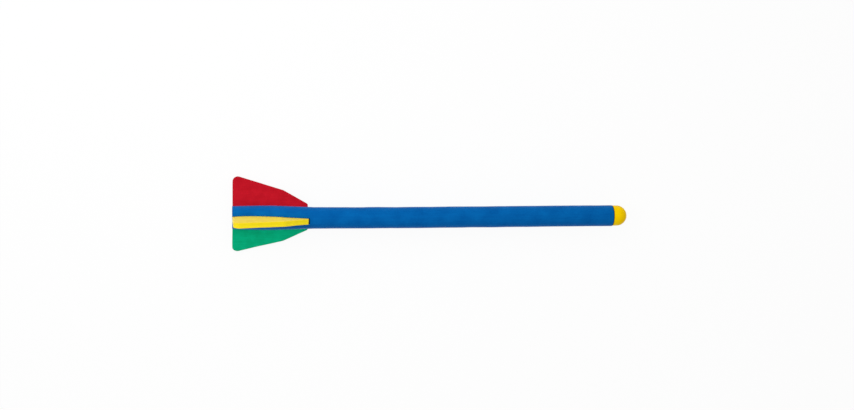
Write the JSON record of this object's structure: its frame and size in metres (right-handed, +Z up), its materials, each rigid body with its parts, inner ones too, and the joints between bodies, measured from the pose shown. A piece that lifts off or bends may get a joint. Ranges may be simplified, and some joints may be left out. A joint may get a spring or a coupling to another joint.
{
  "type": "foam javelin",
  "caption": "Soft foam throwing javelin: round foam shaft with a domed nose and flat tapered fins slotted into the tail, for indoor and beginners' practice.",
  "frame": {"origin": "centre of the flat tail face, on the shaft's axis", "axes": "+X along the shaft towards the nose, +Z up through the middle of the yellow fin, +Y towards the red fin's side"},
  "size_m": [0.75, 0.143, 0.1239],
  "materials": {
    "shaft_foam": "matte closed-cell foam with a faint grain",
    "nose_foam": "matte closed-cell foam",
    "yellow_fin_foam": "matte foam sheet with cut edges",
    "red_fin_foam": "matte foam sheet with cut edges",
    "green_fin_foam": "matte foam sheet with cut edges",
    "tube_plastic": "satin natural plastic",
    "dowel_foam": "matte foam",
    "plug_foam": "matte foam with a cut face"
  },
  "bodies": {
    "root": {"foam_shaft": "shaft_foam", "nose_dome": "nose_foam", "yellow_fin": "yellow_fin_foam", "red_fin": "red_fin_foam", "green_fin": "green_fin_foam", "core_tube": "tube_plastic", "nose_dowel": "dowel_foam", "tail_plug": "plug_foam"}
  },
  "joints": []
}
